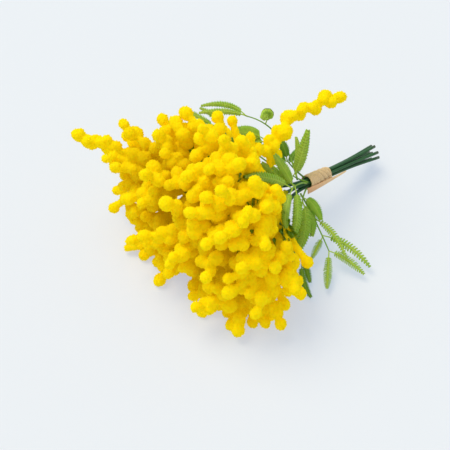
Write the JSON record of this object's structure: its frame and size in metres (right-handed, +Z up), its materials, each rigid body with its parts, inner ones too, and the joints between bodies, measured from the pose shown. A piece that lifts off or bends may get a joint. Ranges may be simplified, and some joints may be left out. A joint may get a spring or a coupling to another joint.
{
  "type": "mimosa sprig bunch",
  "caption": "Bunch of artificial mimosa sprays with flocked flower balls and twice-pinnate leaves, tied round the neck with raffia and lying on its side.",
  "frame": {"origin": "on the surface that the bunch lies on, under the middle of its bounding box", "axes": "+Z up from the surface, +X from the head towards the cut stem ends, +Y square to both by the right-hand rule"},
  "size_m": [0.2538, 0.2312, 0.1465],
  "materials": {
    "flowers": "flocked, matt",
    "leaves": "moulded, satin",
    "stems": "plastic-covered wire, satin",
    "raffia": "dry fibre, matt"
  },
  "bodies": {
    "root": {"stem_middle": "stems", "stem_left": "stems", "stem_top_left": "stems", "stem_top_right": "stems", "stem_right": "stems", "stem_low_right": "stems", "stem_low_left": "stems", "spray_middle": "flowers", "spray_left": "flowers", "spray_top_left": "flowers", "spray_top_right": "flowers", "spray_right": "flowers", "spray_low_right": "flowers", "spray_low_left": "flowers", "leaf_star": "leaves", "leaf_upright": "leaves", "leaf_down": "leaves", "leaf_fold": "leaves", "leaf_top": "leaves", "leaf_right": "leaves", "leaf_under": "leaves", "leaf_back": "leaves", "leaf_low": "leaves", "leaf_far": "leaves", "raffia_band": "raffia", "raffia_tail": "raffia"}
  },
  "joints": []
}
